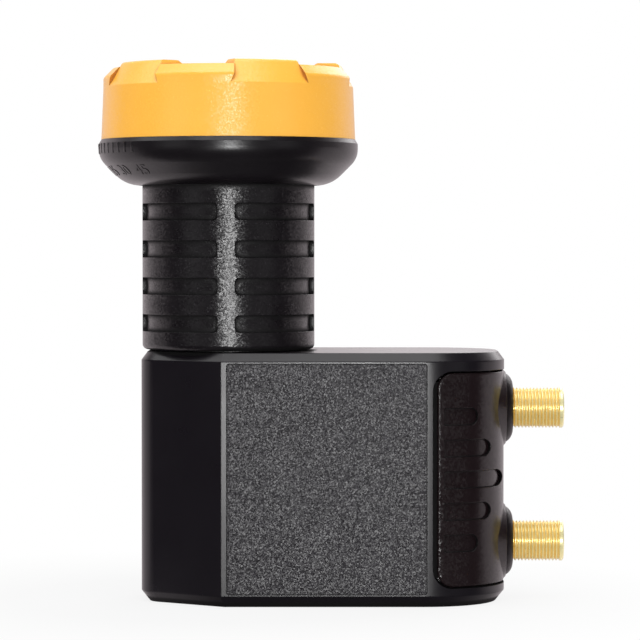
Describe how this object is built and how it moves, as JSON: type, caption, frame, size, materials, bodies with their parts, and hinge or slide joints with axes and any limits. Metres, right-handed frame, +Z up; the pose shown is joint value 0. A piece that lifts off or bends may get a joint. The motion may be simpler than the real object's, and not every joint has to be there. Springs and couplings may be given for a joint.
{
  "type": "satellite lnb",
  "caption": "Satellite dish receiver head with a domed feed cap, a ribbed clamp neck, a box housing, a sliding weather cover and threaded F connectors.",
  "frame": {"origin": "on the axis of the clamp neck, in the flat base plane of the housing", "axes": "+Z up along the neck towards the feed cap, +X towards the F connectors, -Y towards the broad front face"},
  "size_m": [0.108, 0.0602, 0.1242],
  "materials": {
    "cap_amber": "satin amber moulding",
    "collar_black": "glossy black moulding",
    "shell_black": "fine sparkle texture",
    "cover_black": "satin black",
    "rubber_black": "smooth",
    "gold_plate": "gold-plated brass",
    "cast_alloy": "die-cast",
    "steel": "zinc-plated",
    "insulator_white": "smooth",
    "board_green": "solder mask",
    "chip_black": "moulded package",
    "can_silver": "bright can",
    "choke_grey": "ferrite"
  },
  "bodies": {
    "housing": {"feed_cap": "cap_amber", "cap_seal": "rubber_black", "neck_collar": "collar_black", "feed_horn": "cast_alloy", "chassis": "cast_alloy", "front_shell": "shell_black", "rear_shell": "shell_black", "shell_screws": "steel", "shield_cover": "cast_alloy", "shield_screws": "steel", "rf_board": "board_green", "lna_transistors": "chip_black", "converter_chips": "chip_black", "reference_crystal": "can_silver", "voltage_regulators": "chip_black", "output_chokes": "choke_grey", "horizontal_probe": "gold_plate", "vertical_probe": "gold_plate", "probe_bush_upper": "insulator_white", "probe_bush_lower": "insulator_white", "isolation_post": "steel", "f_connector_upper": "gold_plate", "f_connector_lower": "gold_plate", "f_insulator_upper": "insulator_white", "f_insulator_lower": "insulator_white", "f_contact_upper": "gold_plate", "f_contact_lower": "gold_plate", "connector_seal_upper": "rubber_black", "connector_seal_lower": "rubber_black"},
    "weather_cover": {"weather_cover": "cover_black"}
  },
  "joints": [
    {"name": "weather_cover_slide", "type": "slide", "parent": "housing", "child": "weather_cover", "axis": [1, 0, 0], "range_m": [0, 0.014]}
  ]
}
